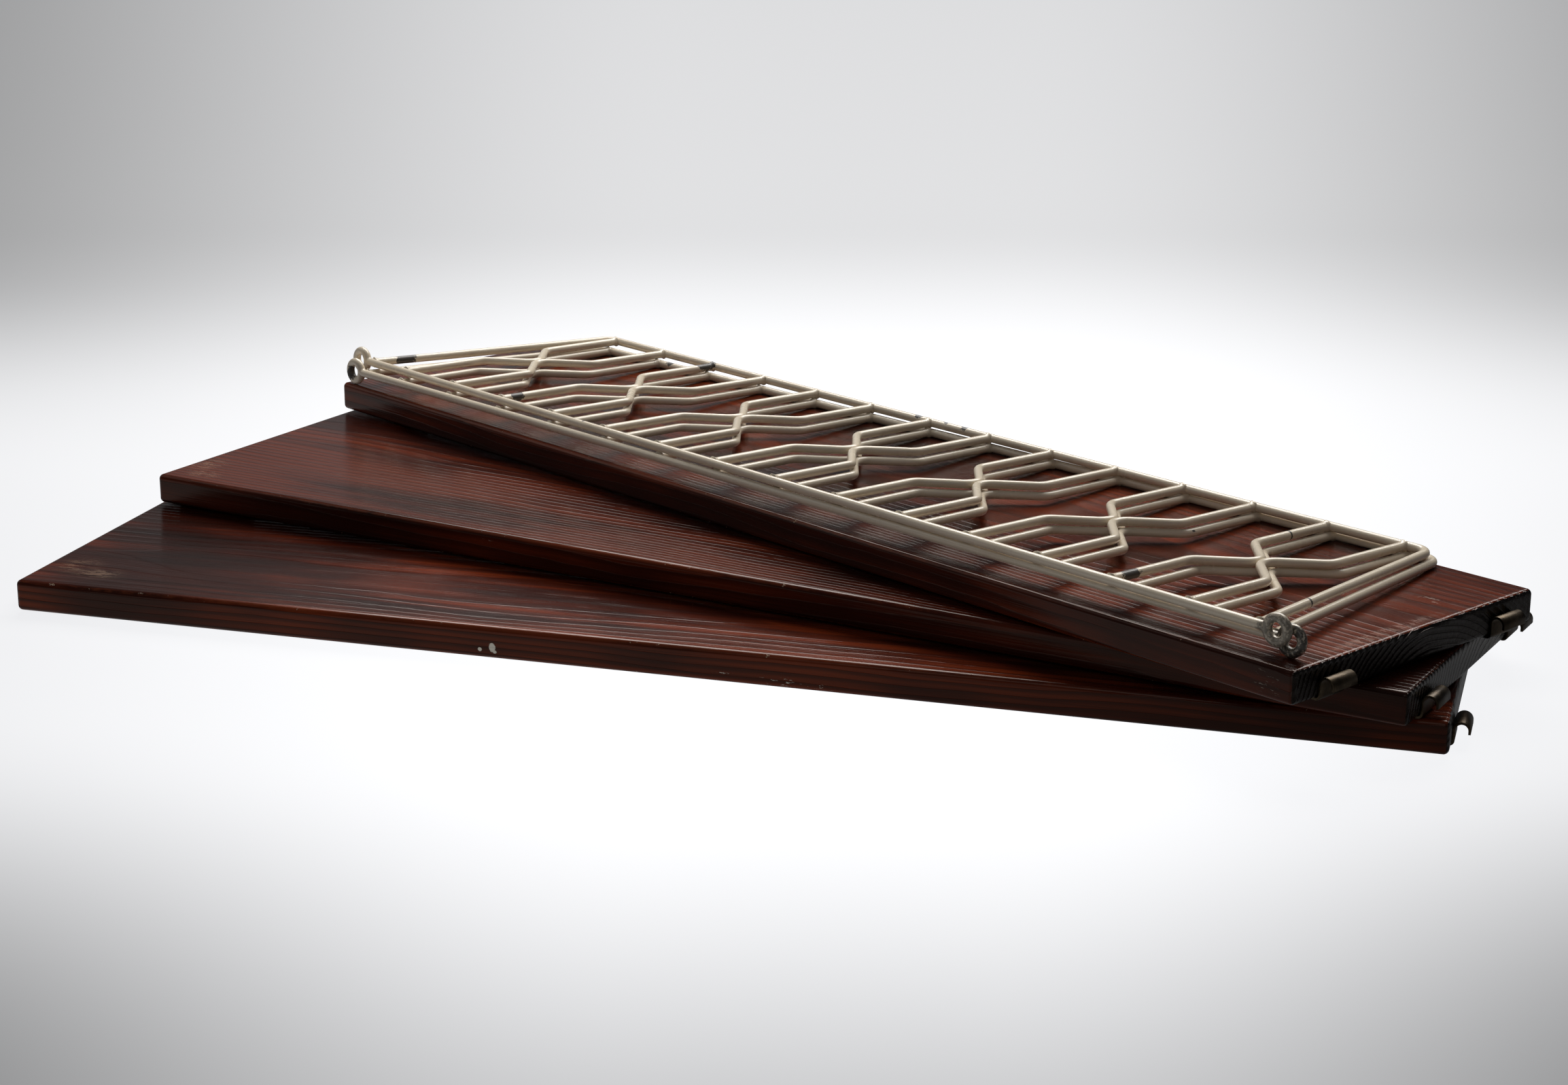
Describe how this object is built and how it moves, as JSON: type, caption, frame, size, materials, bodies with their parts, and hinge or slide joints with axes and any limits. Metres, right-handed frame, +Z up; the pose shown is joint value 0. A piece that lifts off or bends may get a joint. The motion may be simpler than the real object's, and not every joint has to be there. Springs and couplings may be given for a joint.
{
  "type": "hanging shelf",
  "caption": "Knocked-down hanging wall shelf: stained boards with curled end hooks, fanned in a stack, and two enamelled wire ladders with ring eyes lying on top.",
  "frame": {"origin": "under the middle of the stack, on the surface that it lies on", "axes": "+X along the top board towards the end where the boards fan least, +Y from the eyed rails to the short rails, +Z up"},
  "size_m": [0.8384, 0.5802, 0.081],
  "materials": {
    "stained_wood": "mahogany stain under gloss varnish, worn at the edges",
    "hook_metal": "aged dark bronze",
    "screw_steel": "dull zinc",
    "cream_enamel": "satin cream enamel, chipped in places"
  },
  "bodies": {
    "bottom_board": {"bottom_board_hook_left_back": "hook_metal", "bottom_board_hook_left_front": "hook_metal", "bottom_board_hook_right_back": "hook_metal", "bottom_board_hook_right_front": "hook_metal", "bottom_board_panel": "stained_wood", "bottom_board_screws": "screw_steel"},
    "middle_board": {"middle_board_hook_left_back": "hook_metal", "middle_board_hook_left_front": "hook_metal", "middle_board_hook_right_back": "hook_metal", "middle_board_hook_right_front": "hook_metal", "middle_board_panel": "stained_wood", "middle_board_screws": "screw_steel"},
    "top_board": {"top_board_hook_left_back": "hook_metal", "top_board_hook_left_front": "hook_metal", "top_board_hook_right_back": "hook_metal", "top_board_hook_right_front": "hook_metal", "top_board_panel": "stained_wood", "top_board_screws": "screw_steel"},
    "lower_ladder": {"lower_ladder_end_frame": "cream_enamel", "lower_ladder_eyed_rail": "cream_enamel", "lower_ladder_rung_1a": "cream_enamel", "lower_ladder_rung_1b": "cream_enamel", "lower_ladder_rung_2a": "cream_enamel", "lower_ladder_rung_2b": "cream_enamel", "lower_ladder_rung_3a": "cream_enamel", "lower_ladder_rung_3b": "cream_enamel", "lower_ladder_rung_4a": "cream_enamel", "lower_ladder_rung_4b": "cream_enamel", "lower_ladder_rung_5a": "cream_enamel", "lower_ladder_rung_5b": "cream_enamel", "lower_ladder_rung_6a": "cream_enamel", "lower_ladder_rung_6b": "cream_enamel", "lower_ladder_rung_7a": "cream_enamel", "lower_ladder_rung_7b": "cream_enamel"},
    "upper_ladder": {"upper_ladder_end_frame": "cream_enamel", "upper_ladder_eyed_rail": "cream_enamel", "upper_ladder_rung_1a": "cream_enamel", "upper_ladder_rung_1b": "cream_enamel", "upper_ladder_rung_2a": "cream_enamel", "upper_ladder_rung_2b": "cream_enamel", "upper_ladder_rung_3a": "cream_enamel", "upper_ladder_rung_3b": "cream_enamel", "upper_ladder_rung_4a": "cream_enamel", "upper_ladder_rung_4b": "cream_enamel", "upper_ladder_rung_5a": "cream_enamel", "upper_ladder_rung_5b": "cream_enamel", "upper_ladder_rung_6a": "cream_enamel", "upper_ladder_rung_6b": "cream_enamel", "upper_ladder_rung_7a": "cream_enamel", "upper_ladder_rung_7b": "cream_enamel"}
  },
  "joints": [
    {"name": "middle_board_lift", "type": "slide", "parent": "bottom_board", "child": "middle_board", "axis": [0, 0, 1], "range_m": [0, 0.1]},
    {"name": "top_board_lift", "type": "slide", "parent": "middle_board", "child": "top_board", "axis": [0, 0, 1], "range_m": [0, 0.1]},
    {"name": "lower_ladder_lift", "type": "slide", "parent": "top_board", "child": "lower_ladder", "axis": [0, 0, 1], "range_m": [0, 0.1]},
    {"name": "upper_ladder_lift", "type": "slide", "parent": "lower_ladder", "child": "upper_ladder", "axis": [0, 0, 1], "range_m": [0, 0.1]}
  ]
}
